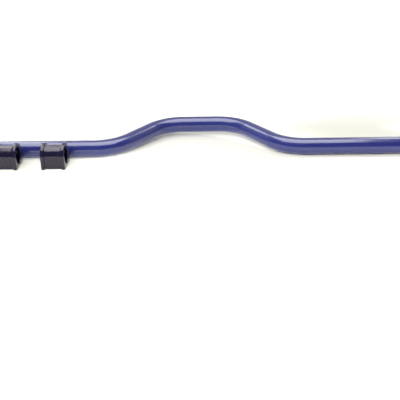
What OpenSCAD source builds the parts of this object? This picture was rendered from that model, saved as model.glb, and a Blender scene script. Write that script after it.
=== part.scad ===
// Vehicle sway bar: one cranked, round spring-steel bar with a raised centre
// hump and forged flat eyes, and two split D-shaped bushings that stand loose
// in front of it. Millimetres. +X along the straight (torsion) sections,
// +Y the way the hump and the arms point, +Z up. The bar lies on Z = 0.

/* [Bar] */
// diameter of the round bar
bar_d = 24; // [22:0.5:26]
// length of the straight flat at the top of the hump
hump_flat = 52; // [40:1:80]
// distance from the straight sections' axis to the hump's axis
hump_offset = 84; // [74:1:96]
// angle of the hump's ramps to the straight sections
hump_angle = 51; // [45:1:56]
// centreline radius of the four hump bends
hump_bend_r = 62; // [50:1:66]
// how far the hump is tipped up out of the lying plane, degrees
hump_tilt = 4; // [0:0.5:8]

/* [Arms] */
// distance from the middle of the bar to where an arm's bend starts
arm_start = 375; // [350:1:420]
// turn of the main bend at the root of each arm
arm_turn = 84; // [75:1:95]
// centreline radius of the main bend
arm_bend_r = 58; // [45:1:70]
// how far the main bend's plane is tipped up, degrees
arm_tip = 14; // [8:1:20]
// straight length after the main bend
arm_rise_len = 45; // [30:1:70]
// slope of the arm on its way back down to the eye
arm_fall = 16; // [12:1:22]
// centreline radius of the crank half way along the arm
crank_r = 45; // [38:1:60]

/* [Eyes] */
// thickness of the forged flat
eye_t = 13; // [11:0.5:15]
// width of the forged flat
eye_w = 34; // [30:0.5:38]
// diameter of the drop link's stud hole
eye_hole_d = 12.4; // [10.2:0.2:14.4]
// length over which the round bar becomes the flat
forge_len = 30; // [24:1:40]
// from the end of the forging transition to the hole's centre
eye_reach = 22; // [20:1:32]

/* [Bushings] */
// radial running clearance between a bushing's bore and the bar
bush_clear = 0.05; // [0.02:0.01:0.1]
// length of a bushing along the bar
bush_len = 33.2; // [30:0.2:38]
// radius of the end flanges' round top
flange_r = 17.5; // [16.5:0.1:20]
// radius of the body's round top between the flanges
body_r = 14.4; // [14:0.1:16]
// height of the bore's axis above the flat base
bore_h = 15.8; // [15:0.1:18]
// thickness of each end flange
flange_t = 4.8; // [3.5:0.1:6]
// width of the slit that lets a bushing open over the bar
slit_w = 0.8; // [0.5:0.1:1.5]
// distance the bushings stand in front of the bar's axis
bush_y = 32.5; // [32:0.5:60]
// middle of the left bushing, from the middle of the bar
bush_left_x = 270.5; // [260:0.5:320]
// middle of the right bushing, from the middle of the bar
bush_right_x = 203; // [180:0.5:215]

/* [Hidden] */
$fn = 64;

r = bar_d / 2;
bore_r = r + bush_clear;

// hump: two bends a side joined by a straight ramp
ramp_len = (hump_offset - 2 * hump_bend_r * (1 - cos(hump_angle))) / sin(hump_angle);
hump_half = hump_flat / 2 + 2 * hump_bend_r * sin(hump_angle) + ramp_len * cos(hump_angle);

// arm: heading after the main bend, as elevation and azimuth
rise_el = asin(sin(arm_turn) * sin(arm_tip));
rise_az = atan2(sin(arm_turn) * cos(arm_tip), cos(arm_turn));
// roll that turns the next bend's plane upright, its centre below the bar
down = [sin(rise_el) * cos(rise_az), sin(rise_el) * sin(rise_az), -cos(rise_el)];
side_x = [-sin(arm_turn), cos(arm_turn) * cos(arm_tip), cos(arm_turn) * sin(arm_tip)];
side_y = [0, -sin(arm_tip), cos(arm_tip)];
arm_roll = atan2(down * side_y, down * side_x);
// heights gained on the way, so the eye comes back to the height of the axis
rise_h = arm_bend_r * (1 - cos(arm_turn)) * sin(arm_tip)
       + arm_rise_len * sin(rise_el)
       + crank_r * (cos(arm_fall) - cos(rise_el));
set_r = 40;
fall_len = (rise_h - set_r * (1 - cos(arm_fall))) / sin(arm_fall);
// plan reach of the whole arm, for the origin in the middle of the footprint
reach = arm_bend_r * (1 - cos(arm_turn)) * cos(arm_tip)
      + (arm_rise_len * cos(rise_el) + crank_r * (sin(rise_el) + sin(arm_fall))
         + fall_len * cos(arm_fall) + set_r * sin(arm_fall)
         + forge_len + eye_reach) * sin(rise_az) + eye_w / 2;
front = -bush_y - flange_r;
mid_y = (reach + front) / 2;

// a band one millimetre long and a hair proud of the bar, which joins a
// straight length to a bend with a clean overlap
module band() {
    translate([0, 0, -0.5]) cylinder(r = r + 0.02, h = 1);
}

// one straight length of round bar along local +Z, then the rest of the path
module run(len) {
    translate([0, 0, 0.2]) cylinder(r = r, h = len - 0.4);
    translate([0, 0, len]) children();
}

// one bend toward local +X, then the rest of the path
module bend(turn, rad) {
    band();
    translate([rad, 0, 0]) rotate([90, 0, 180])
        rotate_extrude(angle = turn) translate([rad, 0]) circle(r = r);
    translate([rad, 0, 0]) rotate([0, turn, 0]) translate([-rad, 0, 0]) {
        band();
        children();
    }
}

// the forged end: a round-to-flat transition and a round-nosed flat whose
// underside is level with the bottom of the bar; local +Z ahead, +X up
module eye() {
    translate([0, 0, 0.2]) cylinder(r = r, h = 1.3);
    difference() {
        union() {
            hull() {
                translate([0, 0, 0.5]) cylinder(r = r - 0.6, h = 0.1, $fn = 48);
                translate([-r, -eye_w / 2, forge_len - 0.1]) cube([eye_t, eye_w, 0.1]);
            }
            translate([-r, 0, forge_len]) rotate([0, 90, 0]) linear_extrude(eye_t) {
                translate([-eye_reach, 0]) circle(d = eye_w);
                translate([-eye_reach, -eye_w / 2]) square([eye_reach, eye_w]);
            }
        }
        translate([-r - 1, 0, forge_len + eye_reach]) rotate([0, 90, 0])
            cylinder(d = eye_hole_d, h = eye_t + 2);
    }
}

// one side of the hump, from the end of its flat to the straight section
module hump_side() {
    translate([hump_flat / 2, hump_offset, 0]) rotate([90, 0, 90]) rotate([0, 0, 180])
        bend(hump_angle, hump_bend_r)
        rotate([0, 0, 180])
        run(ramp_len) bend(hump_angle, hump_bend_r);
}

// a straight section and the arm at its end
module arm_path() {
    translate([hump_half, 0, 0]) rotate([arm_tip, 0, 0]) rotate([90, 0, 90])
        run(arm_start - hump_half) bend(arm_turn, arm_bend_r)
        rotate([0, 0, arm_roll])
        run(arm_rise_len) bend(rise_el + arm_fall, crank_r)
        run(fall_len) rotate([0, 0, 180]) bend(arm_fall, set_r)
        eye();
}

module bar() {
    color([0.10, 0.12, 0.48])
    translate([0, -mid_y, r]) {
        rotate([hump_tilt, 0, 0]) {
            translate([-hump_flat / 2, hump_offset, 0]) rotate([90, 0, 90])
                run(hump_flat);
            hump_side();
            mirror([1, 0, 0]) hump_side();
        }
        arm_path();
        mirror([1, 0, 0]) arm_path();
    }
}

// D outline: flat base at height 0, square sides up to the bore's height, round top
module d_outline(rad) {
    intersection() {
        translate([0, bore_h]) circle(r = rad);
        translate([-rad - 1, 0]) square([2 * rad + 2, bore_h + rad + 1]);
    }
    translate([-rad, 0]) square([2 * rad, bore_h]);
}

// a split bushing along X, its bore's axis at height bore_h
module bushing() {
    rotate([90, 0, 90]) difference() {
        union() {
            translate([0, 0, -bush_len / 2]) linear_extrude(bush_len) d_outline(body_r);
            for (z = [-bush_len / 2, bush_len / 2 - flange_t])
                translate([0, 0, z]) linear_extrude(flange_t) d_outline(flange_r);
        }
        translate([0, bore_h, -bush_len / 2 - 1]) cylinder(r = bore_r, h = bush_len + 2);
        translate([bore_r - 2, bore_h - slit_w / 2, -bush_len / 2 - 1])
            cube([flange_r, slit_w, bush_len + 2]);
    }
}

module left_bushing() {
    color([0.12, 0.10, 0.22])
    translate([-bush_left_x, -bush_y - mid_y, 0]) bushing();
}

module right_bushing() {
    color([0.12, 0.10, 0.22])
    translate([-bush_right_x, -bush_y - mid_y, 0]) bushing();
}

bar();
left_bushing();
right_bushing();
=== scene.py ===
import math
import bpy
from mathutils import Matrix, Vector


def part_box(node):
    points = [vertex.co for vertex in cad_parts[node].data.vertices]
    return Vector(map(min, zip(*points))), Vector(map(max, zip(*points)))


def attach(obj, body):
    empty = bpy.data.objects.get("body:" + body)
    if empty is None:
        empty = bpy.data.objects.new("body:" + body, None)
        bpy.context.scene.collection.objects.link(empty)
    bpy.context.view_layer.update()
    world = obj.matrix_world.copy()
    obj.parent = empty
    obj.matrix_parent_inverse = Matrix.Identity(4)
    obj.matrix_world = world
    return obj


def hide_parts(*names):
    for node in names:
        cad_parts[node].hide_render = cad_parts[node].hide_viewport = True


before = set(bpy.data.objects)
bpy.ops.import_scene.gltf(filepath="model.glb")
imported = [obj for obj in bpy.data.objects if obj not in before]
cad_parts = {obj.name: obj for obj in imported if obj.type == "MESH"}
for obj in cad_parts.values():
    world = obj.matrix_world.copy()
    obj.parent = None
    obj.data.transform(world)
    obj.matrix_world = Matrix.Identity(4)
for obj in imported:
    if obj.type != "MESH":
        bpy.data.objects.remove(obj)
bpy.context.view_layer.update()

# ---------------------------------------------------------------- sizes in metres, the same as the CAD's
MM = 0.001
R = 12.0 * MM
HUMP_FLAT, HUMP_OFF, HUMP_R, HUMP_A, TILT = 52 * MM, 84 * MM, 62 * MM, math.radians(51), math.radians(4)
ARM_START, ARM_TURN, ARM_R, ARM_TIP = 375 * MM, math.radians(84), 58 * MM, math.radians(14)
RISE_LEN, FALL, CRANK_R, SET_R = 45 * MM, math.radians(16), 45 * MM, 40 * MM
EYE_T, EYE_W, HOLE_R, FORGE, REACH = 13 * MM, 34 * MM, 6.2 * MM, 30 * MM, 22 * MM
EDGE = 2.0 * MM  # rounding of the forged flat's edges
BORE_R, BUSH_L, FLANGE_R, BODY_R, BORE_H, FLANGE_T, SLIT = (
    12.05 * MM, 33.2 * MM, 17.5 * MM, 14.4 * MM, 15.8 * MM, 4.8 * MM, 0.8 * MM)
RAMP = (HUMP_OFF - 2 * HUMP_R * (1 - math.cos(HUMP_A))) / math.sin(HUMP_A)
HUMP_HALF = HUMP_FLAT / 2 + 2 * HUMP_R * math.sin(HUMP_A) + RAMP * math.cos(HUMP_A)

left_lo, left_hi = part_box("left_bushing")
right_lo, right_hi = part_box("right_bushing")
BUSH_Y = (right_lo.y + right_hi.y) / 2
AXIS_Y = BUSH_Y + 32.5 * MM  # the torsion sections' axis
UP = Vector((0, 0, 1))

# light levels, as radiance against a picture white of 1
# the GLOW levels are painted light: emission of the table itself, graded across it
GLOW_LEFT, GLOW_FAR, GLOW_BACK = 0.08, 0.80, 0.30
SOFT, KEY, FILL, SIDE_L, W_FRONT, W_BACK = 4.8, 2.9, 13.0, 3700.0, 0.15, 0.70


def smooth(u):
    u = min(1.0, max(0.0, u))
    return u * u * (3 - 2 * u)


def new_object(name, verts, faces, sharp_deg=None):
    me = bpy.data.meshes.new(name)
    me.from_pydata([tuple(v) for v in verts], [], [tuple(f) for f in faces])
    me.update()
    ob = bpy.data.objects.new(name, me)
    bpy.context.scene.collection.objects.link(ob)
    shade(ob, sharp_deg)
    return ob


def shade(ob, sharp_deg):
    me = ob.data
    me.polygons.foreach_set("use_smooth", [True] * len(me.polygons))
    if sharp_deg:
        me.set_sharp_from_angle(angle=math.radians(sharp_deg))
    me.update()


def tidy(ob, dist=0.004 * MM):
    """Merge doubles and make the normals point outwards."""
    import bmesh
    bm = bmesh.new()
    bm.from_mesh(ob.data)
    bmesh.ops.remove_doubles(bm, verts=bm.verts, dist=dist)
    bmesh.ops.dissolve_degenerate(bm, edges=bm.edges, dist=dist * 0.5)
    bmesh.ops.recalc_face_normals(bm, faces=bm.faces)
    if bm.calc_volume(signed=True) < 0:
        bmesh.ops.reverse_faces(bm, faces=bm.faces)
    bm.to_mesh(ob.data)
    bm.free()


# ---------------------------------------------------------------- the bar's centreline
def arc(p, t, n, angle, radius, step):
    """Points on a bend from p, heading t, towards unit vector n, with the heading at each."""
    count = max(4, int(math.ceil(angle * radius / step)))
    out = []
    for i in range(1, count + 1):
        a = angle * i / count
        out.append((p + t * (radius * math.sin(a)) + n * (radius * (1 - math.cos(a))),
                    t * math.cos(a) + n * math.sin(a)))
    return out


def straight(p, t, length, step):
    count = max(2, int(math.ceil(length / step)))
    return [(p + t * (length * i / count), t) for i in range(1, count + 1)]


def half_path():
    """From the middle of the hump to the start of the forging on the +X side, round the axis as origin."""
    x = Vector((1, 0, 0))
    up_y = Vector((0, math.cos(TILT), math.sin(TILT)))
    step = 1.6 * MM
    pts = [(up_y * HUMP_OFF, x)]
    pts += straight(pts[-1][0], x, HUMP_FLAT / 2, 5 * MM)
    pts += arc(pts[-1][0], x, -up_y, HUMP_A, HUMP_R, step)
    pts += straight(pts[-1][0], pts[-1][1], RAMP, 5 * MM)
    n = x * math.sin(HUMP_A) + up_y * math.cos(HUMP_A)
    pts += arc(pts[-1][0], pts[-1][1], n, HUMP_A, HUMP_R, step)
    pts += straight(pts[-1][0], x, ARM_START - HUMP_HALF, 5 * MM)
    n = Vector((0, math.cos(ARM_TIP), math.sin(ARM_TIP)))
    pts += arc(pts[-1][0], x, n, ARM_TURN, ARM_R, step)
    pts += straight(pts[-1][0], pts[-1][1], RISE_LEN, 5 * MM)
    t = pts[-1][1].normalized()
    flat = Vector((t.x, t.y, 0)).normalized()
    el = math.asin(t.z)
    down = flat * math.sin(el) - UP * math.cos(el)
    pts += arc(pts[-1][0], t, down, el + FALL, CRANK_R, step)
    p, t = pts[-1]
    fall_len = (p.z - SET_R * (1 - math.cos(FALL))) / math.sin(FALL)
    pts += straight(p, t, fall_len, 5 * MM)
    rise = flat * math.sin(FALL) + UP * math.cos(FALL)
    pts += arc(pts[-1][0], t, rise, FALL, SET_R, step)
    return pts, flat


right_path, flat_dir = half_path()
root = Vector((0, AXIS_Y, R))
centreline = [(Vector((-p.x, p.y, p.z)), Vector((t.x, -t.y, -t.z))) for p, t in reversed(right_path[1:])] + right_path
centreline = [(p + root, t.normalized()) for p, t in centreline]

# ---------------------------------------------------------------- the bar: a round sweep that runs into forged flats
RING = 144
CORNER = RING // 12  # index of the 30 degree point, which becomes the flat's corner


def flat_section(d):
    """The forged flat's section, d past the hole's centre, as (across, up) from its own middle, RING points."""
    hw, ht, e = EYE_W / 2, EYE_T / 2, EDGE
    mid = e * (1 - math.cos(math.radians(45)))

    def across(inset):
        if d <= 0:
            return hw - inset
        return math.sqrt(max(0.0, (hw - inset) ** 2 - d * d))

    def depth(y):
        return hw - (math.hypot(d, y) if d > 0 else abs(y))

    def top(y):
        k = max(0.0, e - max(0.0, depth(y)))
        return ht - e + math.sqrt(max(0.0, e * e - k * k))

    y_corner = across(mid)
    z_corner = top(y_corner)
    pts = [None] * RING
    n_top, n_side = RING // 3, RING // 6
    for i in range(n_top + 1):
        y = y_corner * math.cos(math.radians(30 + 120 * i / n_top)) / math.cos(math.radians(30))
        pts[(CORNER + i) % RING] = (y, top(y))
        pts[(CORNER + n_top + n_side + i) % RING] = (-y, -top(y))
    for i in range(1, n_side):
        z = z_corner * math.cos(math.pi * i / n_side)
        k = max(0.0, abs(z) - (ht - e))
        inset = e - math.sqrt(max(0.0, e * e - k * k))
        y = across(inset)
        pts[(CORNER + n_top + i) % RING] = (-y, z)
        pts[(CORNER + n_top + n_side + n_top + i) % RING] = (y, -z)
    return pts


def bar_mesh():
    rings = []
    for p, t in centreline:
        u = (UP - t * UP.dot(t)).normalized()
        side = t.cross(u)
        rings.append([p + side * (R * math.cos(2 * math.pi * k / RING)) + u * (R * math.sin(2 * math.pi * k / RING))
                      for k in range(RING)])
    nose = EYE_W / 2
    stations = [FORGE * i / 40 for i in range(1, 41)]
    stations += [FORGE + REACH * i / 14 for i in range(1, 15)]
    stations += [FORGE + REACH + nose * math.sin(math.pi / 2 * i / 36) for i in range(1, 37)]

    def end(p, travel, sign):
        """Rings past p. travel is the sweep's level heading there, and sign says which way the end lies."""
        side = travel.cross(UP)
        out = []
        for s in stations:
            f = smooth(s / FORGE)
            flat = flat_section(s - FORGE - REACH)
            ring = []
            for k in range(RING):
                a = 2 * math.pi * k / RING
                y = (1 - f) * R * math.cos(a) + f * flat[k][0]
                z = (1 - f) * R * math.sin(a) + f * (flat[k][1] - R + EYE_T / 2)
                ring.append(p + travel * (sign * s) + side * y + UP * z)
            out.append(ring)
        return out

    p1, t1 = centreline[-1]
    p0, t0 = centreline[0]
    right = end(p1, Vector((t1.x, t1.y, 0)).normalized(), 1)
    left = end(p0, Vector((t0.x, t0.y, 0)).normalized(), -1)
    rings = list(reversed(left)) + rings + right
    verts = [v for ring in rings for v in ring]
    n = len(rings)
    faces = []
    for i in range(n - 1):
        for k in range(RING):
            a, b = i * RING + k, i * RING + (k + 1) % RING
            faces.append((a, b, b + RING, a + RING))
    return new_object("bar_steel", verts, faces)


def stud_hole_cutter(name, centre):
    """A lathe-turned cutter: the stud hole with a small lead-in at each face."""
    top = EYE_T + 0.6 * MM
    ch = 0.7 * MM
    profile = [(0, -0.6 * MM), (HOLE_R + ch + 0.6 * MM, -0.6 * MM), (HOLE_R, ch), (HOLE_R, EYE_T - ch),
               (HOLE_R + ch + 0.6 * MM, top), (0, top)]
    n = 72
    verts, faces = [], []
    for r, z in profile[1:-1]:
        verts += [centre + Vector((r * math.cos(2 * math.pi * k / n), r * math.sin(2 * math.pi * k / n), z))
                  for k in range(n)]
    rows = len(profile) - 2
    for i in range(rows - 1):
        for k in range(n):
            a, b = i * n + k, i * n + (k + 1) % n
            faces.append((a, b, b + n, a + n))
    faces.append(tuple(reversed(range(n))))
    faces.append(tuple(range((rows - 1) * n, rows * n)))
    return new_object(name, verts, faces)


def subtract(ob, cutter):
    mod = ob.modifiers.new("cut", "BOOLEAN")
    mod.operation, mod.solver, mod.object = "DIFFERENCE", "EXACT", cutter
    dg = bpy.context.evaluated_depsgraph_get()
    me = bpy.data.meshes.new_from_object(ob.evaluated_get(dg))
    ob.modifiers.remove(mod)
    old = ob.data
    ob.data = me
    bpy.data.meshes.remove(old)
    bpy.data.objects.remove(cutter)


bar = bar_mesh()
tidy(bar)
for side_sign in (-1, 1):
    p, t = centreline[-1] if side_sign > 0 else centreline[0]
    ahead = Vector((t.x, t.y, 0)).normalized() * side_sign
    c = p + ahead * (FORGE + REACH)
    subtract(bar, stud_hole_cutter("cutter", Vector((c.x, c.y, p.z - R))))
tidy(bar, 0.001 * MM)
shade(bar, 40)
bar.data.name = "bar_steel"

# ---------------------------------------------------------------- bushings: one split D moulding each
ARC = 96      # steps over the round top
SIDE = 14     # steps up each straight side
BASE = 24     # steps across the base


def d_loop(rad, foot, lift):
    """Open loop round the D from the slit's upper lip, over the top, down the front, under and up to the lower lip.
    rad is the round top's radius, foot the rounding of the base's corners, and lift raises the base."""
    pts = []
    a0 = math.asin(SLIT / 2 / rad)
    for i in range(ARC + 1):
        a = a0 + (math.pi - a0) * i / ARC
        pts.append((rad * math.cos(a), BORE_H + rad * math.sin(a)))
    # front side, down
    for i in range(1, SIDE + 1):
        pts.append((-rad, BORE_H - (BORE_H - foot - lift) * i / SIDE))
    for i in range(1, 7):
        a = math.pi / 2 * i / 6
        pts.append((-rad + foot * (1 - math.cos(a)), lift + foot * (1 - math.sin(a))))
    for i in range(1, BASE + 1):
        pts.append((-rad + foot + (2 * rad - 2 * foot) * i / BASE, lift))
    for i in range(1, 7):
        a = math.pi / 2 * i / 6
        pts.append((rad - foot + foot * math.sin(a), lift + foot * (1 - math.cos(a))))
    top = BORE_H - SLIT / 2
    for i in range(1, SIDE + 1):
        pts.append((rad, lift + foot + (top - foot - lift) * i / SIDE))
    return pts


def bore_loop(rad, outer):
    """The bore's points, each facing the outer loop's point of the same number."""
    n = len(outer)
    a0 = math.asin(SLIT / 2 / rad)
    angles = []
    for y, z in outer:
        a = math.atan2(z - BORE_H, y)
        if a < 0:
            a += 2 * math.pi
        angles.append(a)
    first, last = angles[0], angles[-1]
    span = 2 * math.pi - 2 * a0
    out = []
    for i, a in enumerate(angles):
        u = (a - first) / (last - first)
        v = a0 + span * u
        out.append((rad * math.cos(v), BORE_H + rad * math.sin(v)))
    return out


def bush_profile():
    """(x, outer radius, foot, lift, bore radius) along one bushing, from one end to the other."""
    h, ft, er, fr = BUSH_L / 2, FLANGE_T, 0.9 * MM, 0.9 * MM
    step = FLANGE_R - BODY_R
    rows = []
    # end face's outer edge, rounded
    for i in range(7):
        a = math.pi / 2 * i / 6
        rows.append((-h + er * (1 - math.cos(a)), FLANGE_R - er * (1 - math.sin(a))))
    rows.append((-h + ft * 0.5, FLANGE_R))
    # flange's inner edge, rounded
    x1 = -h + ft
    for i in range(7):
        a = math.pi / 2 * i / 6
        rows.append((x1 - er * 0.7 * (1 - math.sin(a)), FLANGE_R - er * 0.7 * (1 - math.cos(a))))
    # fillet into the body
    for i in range(7):
        a = math.pi / 2 * i / 6
        rows.append((x1 + fr * (1 - math.cos(a)), BODY_R + fr * (1 - math.sin(a))))
    n = 16
    half = [r for r in rows]
    mid = [(x1 + fr + (-(x1 + fr)) * 2 * i / n, BODY_R) for i in range(1, n)]
    other = [(-x, r) for x, r in reversed(half)]
    out = []
    for x, r in half + mid + other:
        d = h - abs(x)
        foot = 1.0 * MM if r > BODY_R + 0.2 * MM else 0.8 * MM
        lift = 0.5 * MM * (1 - d / (0.7 * MM)) ** 2 if d < 0.7 * MM else 0.0
        chamfer = 0.6 * MM
        bore = BORE_R + (chamfer - d if d < chamfer else 0.0)
        out.append((x, r, foot, lift, bore))
    return out


def bush_mesh(name, lo, hi):
    cx, cy = (lo.x + hi.x) / 2, (lo.y + hi.y) / 2
    verts, faces = [], []
    rows = bush_profile()
    count = None
    for x, r, foot, lift, bore in rows:
        outer = d_loop(r, foot, lift)
        inner = bore_loop(bore, outer)
        loop = outer + list(reversed(inner))
        count = len(loop)
        verts += [Vector((cx + x, cy + y, lo.z + z)) for y, z in loop]
    n_out = count // 2
    for i in range(len(rows) - 1):
        for k in range(count):
            a, b = i * count + k, i * count + (k + 1) % count
            faces.append((a, b, b + count, a + count))
    for i in (0, len(rows) - 1):
        o = i * count
        for k in range(n_out - 1):
            quad = (o + k, o + k + 1, o + count - 2 - k, o + count - 1 - k)
            faces.append(quad)
    ob = new_object(name, verts, faces)
    tidy(ob, 0.002 * MM)
    shade(ob, 38)
    return ob


left_bush = bush_mesh("left_bushing_moulding", left_lo, left_hi)
right_bush = bush_mesh("right_bushing_moulding", right_lo, right_hi)


# ---------------------------------------------------------------- materials
def material(name):
    m = bpy.data.materials.new(name)
    m.use_nodes = True
    nt = m.node_tree
    return m, nt, nt.nodes["Principled BSDF"] if "Principled BSDF" in nt.nodes else nt.nodes.new("ShaderNodeBsdfPrincipled")


def noise(nt, coords, scale, detail=3.0, rough=0.5):
    n = nt.nodes.new("ShaderNodeTexNoise")
    n.inputs["Scale"].default_value = scale
    n.inputs["Detail"].default_value = detail
    n.inputs["Roughness"].default_value = rough
    nt.links.new(coords, n.inputs["Vector"])
    return n


def ramp(nt, fac, stops):
    r = nt.nodes.new("ShaderNodeValToRGB")
    e = r.color_ramp.elements
    while len(e) < len(stops):
        e.new(0.5)
    for el, (pos, col) in zip(e, stops):
        el.position = pos
        el.color = col if len(col) == 4 else (*col, 1)
    nt.links.new(fac, r.inputs["Fac"])
    return r


def grey(v):
    return (v, v, v, 1)


def link(nt, a, b):
    nt.links.new(a, b)


def math_node(nt, op, x, y):
    n = nt.nodes.new("ShaderNodeMath")
    n.operation = op
    for i, v in enumerate((x, y)):
        if isinstance(v, (int, float)):
            n.inputs[i].default_value = v
        else:
            link(nt, v, n.inputs[i])
    return n.outputs[0]


def over(nt, under, colour, fac):
    """Colour laid over the one under it, by fac."""
    n = nt.nodes.new("ShaderNodeMix")
    n.data_type = "RGBA"
    n.inputs["B"].default_value = (*colour, 1)
    link(nt, fac, n.inputs["Factor"])
    link(nt, under, n.inputs["A"])
    return n.outputs["Result"]


def stretched(nt, co, scale, turn=(0, 0, 0)):
    n = nt.nodes.new("ShaderNodeMapping")
    n.inputs["Scale"].default_value = scale
    n.inputs["Rotation"].default_value = turn
    link(nt, co, n.inputs["Vector"])
    return n.outputs["Vector"]


def bumps(nt, shader, layers):
    last = None
    for height, strength, distance in layers:
        n = nt.nodes.new("ShaderNodeBump")
        n.inputs["Strength"].default_value = strength
        n.inputs["Distance"].default_value = distance
        link(nt, height, n.inputs["Height"])
        if last is not None:
            link(nt, last, n.inputs["Normal"])
        last = n.outputs["Normal"]
    link(nt, last, shader.inputs["Normal"])


def specks(nt, co, scale, size, patch_scale, lo, hi):
    """Small dots of the given size, kept to patches."""
    v = nt.nodes.new("ShaderNodeTexVoronoi")
    v.inputs["Scale"].default_value = scale
    link(nt, co, v.inputs["Vector"])
    dot = ramp(nt, v.outputs["Distance"], [(size * 0.5, grey(1)), (size, grey(0))]).outputs["Color"]
    patch = ramp(nt, noise(nt, co, patch_scale, 2).outputs["Fac"], [(lo, grey(0)), (hi, grey(1))]).outputs["Color"]
    return math_node(nt, "MULTIPLY", dot, patch)


def scratches(nt, co, turn, scale, lo, hi):
    """Thin lines: a noise stretched a long way one way, with only its crests kept."""
    n = noise(nt, stretched(nt, co, (1.0, 14.0, 14.0), turn), scale, 2, 0.4).outputs["Fac"]
    line = ramp(nt, n, [(lo, grey(0)), (hi, grey(1)), (min(1.0, hi * 2 - lo), grey(0))]).outputs["Color"]
    patch = ramp(nt, noise(nt, co, 22, 3).outputs["Fac"], [(0.52, grey(0)), (0.66, grey(1))]).outputs["Color"]
    return math_node(nt, "MULTIPLY", line, patch)


def powder_coat():
    m, nt, b = material("blue_powder_coat")
    co = nt.nodes.new("ShaderNodeTexCoord").outputs["Object"]
    # the coat's colour drifts a little along the bar and is thinner over its fine grain
    col = ramp(nt, noise(nt, co, 14, 3).outputs["Fac"],
               [(0.30, (0.020, 0.028, 0.205)), (0.70, (0.024, 0.034, 0.240))]).outputs["Color"]
    grain = noise(nt, co, 900, 3, 0.6).outputs["Fac"]
    col = over(nt, col, (0.013, 0.018, 0.150), ramp(nt, grain, [(0.45, grey(0)), (0.70, grey(0.45))]).outputs["Color"])
    # dust nibs in patches, and faint handling marks
    nib = specks(nt, co, 520, 0.16, 55, 0.52, 0.62)
    mark = math_node(nt, "MAXIMUM", scratches(nt, co, (0.3, 0.2, 0.5), 150, 0.62, 0.645),
                     scratches(nt, co, (0.9, -0.4, -0.8), 190, 0.64, 0.665))
    col = over(nt, col, (0.075, 0.085, 0.24), math_node(nt, "MULTIPLY", nib, 0.55))
    col = over(nt, col, (0.070, 0.078, 0.22), math_node(nt, "MULTIPLY", mark, 0.5))
    link(nt, col, b.inputs["Base Color"])
    # glossy, with rubbed patches and duller marks
    rub = ramp(nt, noise(nt, co, 38, 4, 0.6).outputs["Fac"], [(0.35, grey(0.15)), (0.75, grey(0.27))]).outputs["Color"]
    link(nt, math_node(nt, "ADD", rub, math_node(nt, "MULTIPLY", mark, 0.25)), b.inputs["Roughness"])
    b.inputs["IOR"].default_value = 1.5
    b.inputs["Coat Weight"].default_value = 0.75
    coat = ramp(nt, noise(nt, co, 75, 3, 0.5).outputs["Fac"], [(0.35, grey(0.09)), (0.70, grey(0.15))]).outputs["Color"]
    link(nt, coat, b.inputs["Coat Roughness"])
    peel = noise(nt, co, 430, 2, 0.5).outputs["Fac"]
    wave = noise(nt, co, 120, 2, 0.5).outputs["Fac"]
    bumps(nt, b, [(wave, 0.25, 0.00020), (peel, 0.45, 0.00012), (grain, 0.20, 0.00004), (nib, 0.35, 0.00008)])
    link(nt, b.inputs["Normal"].links[0].from_socket, b.inputs["Coat Normal"])
    return m


def polyurethane():
    m, nt, b = material("dark_polyurethane")
    co = nt.nodes.new("ShaderNodeTexCoord").outputs["Object"]
    col = ramp(nt, noise(nt, co, 60, 3).outputs["Fac"],
               [(0.30, (0.006, 0.0045, 0.024)), (0.70, (0.009, 0.0070, 0.036))]).outputs["Color"]
    # flow marks from moulding, pale bloom and a few specks of dust
    flow = noise(nt, stretched(nt, co, (1.0, 1.0, 5.0), (0.2, 0.1, 0)), 120, 4, 0.6).outputs["Fac"]
    col = over(nt, col, (0.016, 0.012, 0.042), ramp(nt, flow, [(0.50, grey(0)), (0.75, grey(0.7))]).outputs["Color"])
    dust = specks(nt, co, 900, 0.20, 90, 0.55, 0.66)
    mark = scratches(nt, co, (0.4, 0.9, 0.2), 260, 0.62, 0.65)
    col = over(nt, col, (0.11, 0.10, 0.12), math_node(nt, "MULTIPLY", dust, 0.5))
    col = over(nt, col, (0.055, 0.048, 0.075), math_node(nt, "MULTIPLY", mark, 0.6))
    link(nt, col, b.inputs["Base Color"])
    rough = ramp(nt, noise(nt, co, 140, 4, 0.6).outputs["Fac"], [(0.30, grey(0.10)), (0.75, grey(0.21))]).outputs["Color"]
    link(nt, math_node(nt, "ADD", rough, math_node(nt, "MULTIPLY", mark, 0.2)), b.inputs["Roughness"])
    b.inputs["IOR"].default_value = 1.5
    b.inputs["Specular IOR Level"].default_value = 0.56
    b.inputs["Specular Tint"].default_value = (1.0, 0.93, 0.97, 1)
    grain = noise(nt, co, 1500, 3, 0.6).outputs["Fac"]
    soft = noise(nt, co, 260, 2, 0.5).outputs["Fac"]
    bumps(nt, b, [(soft, 0.22, 0.00015), (flow, 0.20, 0.00010), (grain, 0.30, 0.00004), (dust, 0.4, 0.00005)])
    return m


bar.data.materials.append(powder_coat())
poly = polyurethane()
for ob in (left_bush, right_bush):
    ob.data.materials.append(poly)

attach(bar, "bar_body")
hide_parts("bar")
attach(left_bush, "left_bushing_body")
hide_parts("left_bushing")
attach(right_bush, "right_bushing_body")
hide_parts("right_bushing")

# ---------------------------------------------------------------- floor, light, camera
floor = new_object("floor", [(-6, -5, 0), (6, -5, 0), (6, 7, 0), (-6, 7, 0)], [(0, 1, 2, 3)])
floor.location.z = -0.0001
fm, fnt, fb = material("white_table")
fb.inputs["Base Color"].default_value = (0.81, 0.80, 0.71, 1)
fb.inputs["Roughness"].default_value = 0.8
fb.inputs["Specular IOR Level"].default_value = 0.0
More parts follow.
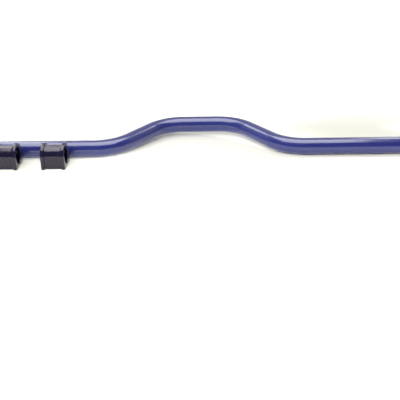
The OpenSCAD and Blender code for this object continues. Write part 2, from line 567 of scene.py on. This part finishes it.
# painted light: the table itself glows, a little near the part, more behind it and fully further out, standing in for
# light falling across the floor
f_co = fnt.nodes.new("ShaderNodeTexCoord").outputs["Object"]
f_off = fnt.nodes.new("ShaderNodeMapping")
f_off.inputs["Location"].default_value = (0.02, 0.06, 0)
fnt.links.new(f_co, f_off.inputs["Vector"])
f_len = fnt.nodes.new("ShaderNodeVectorMath")
f_len.operation = "LENGTH"
fnt.links.new(f_off.outputs["Vector"], f_len.inputs[0])
f_sep = fnt.nodes.new("ShaderNodeSeparateXYZ")
fnt.links.new(f_co, f_sep.inputs["Vector"])


def step_range(value, lo, hi, top):
    n = fnt.nodes.new("ShaderNodeMapRange")
    n.interpolation_type = "SMOOTHSTEP"
    n.inputs["From Min"].default_value = lo
    n.inputs["From Max"].default_value = hi
    n.inputs["To Min"].default_value = 0.0
    n.inputs["To Max"].default_value = top
    fnt.links.new(value, n.inputs["Value"])
    return n.outputs["Result"]


f_sum = fnt.nodes.new("ShaderNodeMath")
f_sum.operation = "ADD"
fnt.links.new(step_range(f_len.outputs["Value"], 0.25, 0.75, GLOW_FAR), f_sum.inputs[0])
fnt.links.new(step_range(f_sep.outputs["Y"], -0.02, 0.12, GLOW_BACK), f_sum.inputs[1])
f_neg = fnt.nodes.new("ShaderNodeMath")
f_neg.operation = "MULTIPLY"
f_neg.inputs[1].default_value = -1.0
fnt.links.new(f_sep.outputs["X"], f_neg.inputs[0])
f_all = fnt.nodes.new("ShaderNodeMath")
f_all.operation = "ADD"
fnt.links.new(f_sum.outputs[0], f_all.inputs[0])
fnt.links.new(step_range(f_neg.outputs[0], -0.21, -0.03, GLOW_LEFT), f_all.inputs[1])
f_ramp = ramp(fnt, f_all.outputs[0], [(0.0, grey(0.0)), (1.0, grey(1.0))])
fnt.links.new(f_ramp.outputs["Color"], fb.inputs["Emission Color"])
fb.inputs["Emission Strength"].default_value = 1.0
floor.data.materials.append(fm)


def area_light(name, loc, target, size_x, size_y, radiance, glossy=True, diffuse=True, color=(1, 1, 1)):
    li = bpy.data.lights.new(name, "AREA")
    li.shape, li.size, li.size_y, li.color = "RECTANGLE", size_x, size_y, color
    li.energy = radiance * math.pi * size_x * size_y
    ob = bpy.data.objects.new(name, li)
    bpy.context.scene.collection.objects.link(ob)
    ob.location = loc
    ob.rotation_euler = (Vector(target) - Vector(loc)).to_track_quat("-Z", "Y").to_euler()
    ob.visible_glossy = glossy
    ob.visible_diffuse = diffuse
    return ob


# the softbox overhead is what the gloss shows; the key and side lights give the soft shadows
area_light("softbox", (-0.06, AXIS_Y - 0.07, 1.05), (-0.06, AXIS_Y - 0.07, 0), 1.06, 1.04, SOFT, diffuse=False)
# two more boxes behind, left and right, carry the highlight on over the ramps of the hump
area_light("back_right", (0.81, 0.78, 1.05), (0.81, 0.78, 0), 0.56, 0.84, SOFT, diffuse=False)
area_light("back_left", (-0.82, 0.76, 1.05), (-0.82, 0.76, 0), 0.58, 0.88, SOFT, diffuse=False)
area_light("key", (-0.50, AXIS_Y - 0.60, 1.0), (-0.12, AXIS_Y, 0), 1.2, 1.2, KEY, glossy=False)
fill = area_light("fill", (-0.08, AXIS_Y - 1.08, 0.86), (0.0, AXIS_Y, 0.0), 0.8, 0.42, FILL, glossy=False)
side = area_light("side", (1.50, -0.05, 0.21), (0.25, 0.0, 0.0), 0.08, 0.05, SIDE_L, glossy=False)
table_only = bpy.data.collections.new("table_only")
table_only.objects.link(floor)
side.light_linking.receiver_collection = table_only
fill.light_linking.receiver_collection = table_only

world = bpy.data.worlds.new("studio")
bpy.context.scene.world = world
world.use_nodes = True
wn = world.node_tree
bg = wn.nodes["Background"]
tc = wn.nodes.new("ShaderNodeTexCoord")
sep = wn.nodes.new("ShaderNodeSeparateXYZ")
wn.links.new(tc.outputs["Generated"], sep.inputs["Vector"])
half = wn.nodes.new("ShaderNodeMath")
half.operation = "MULTIPLY_ADD"
half.inputs[1].default_value = 0.5
half.inputs[2].default_value = 0.5
wn.links.new(sep.outputs["Y"], half.inputs[0])
wr = ramp(wn, half.outputs[0], [(0.35, grey(W_FRONT)), (0.62, grey(W_BACK))])
wn.links.new(wr.outputs["Color"], bg.inputs["Color"])
bg.inputs["Strength"].default_value = 1.0

# camera: fitted to the product's view
F_PX, PITCH, ROLL, YAW, CAM_X, DIST, ELEV = 690.685, 25.539, 1.197, 1.428, 22.582 * MM, 999.375 * MM, 21.18
cam_data = bpy.data.cameras.new("camera")
cam = bpy.data.objects.new("camera", cam_data)
bpy.context.scene.collection.objects.link(cam)
cam_data.sensor_fit, cam_data.sensor_width = "HORIZONTAL", 36.0
cam_data.lens = F_PX / 400 * 36.0
cam_data.clip_start, cam_data.clip_end = 0.01, 50
cam_data.dof.use_dof = False
e, p_, r_, y_ = (math.radians(v) for v in (ELEV, PITCH, ROLL, YAW))
loc = Vector((CAM_X, AXIS_Y - DIST * math.cos(e), R + DIST * math.sin(e)))
right = Vector((math.cos(y_), math.sin(y_), 0))
ahead_flat = Vector((-math.sin(y_), math.cos(y_), 0))
look = ahead_flat * math.cos(p_) - UP * math.sin(p_)
upv = ahead_flat * math.sin(p_) + UP * math.cos(p_)
right2 = right * math.cos(r_) - upv * math.sin(r_)
up2 = right * math.sin(r_) + upv * math.cos(r_)
cam.matrix_world = Matrix((
    (right2.x, up2.x, -look.x, loc.x),
    (right2.y, up2.y, -look.y, loc.y),
    (right2.z, up2.z, -look.z, loc.z),
    (0, 0, 0, 1)))
scene = bpy.context.scene
scene.camera = cam
scene.view_settings.view_transform = "Standard"
scene.view_settings.look = "None"
scene.view_settings.exposure = 0.0
scene.view_settings.gamma = 1.0
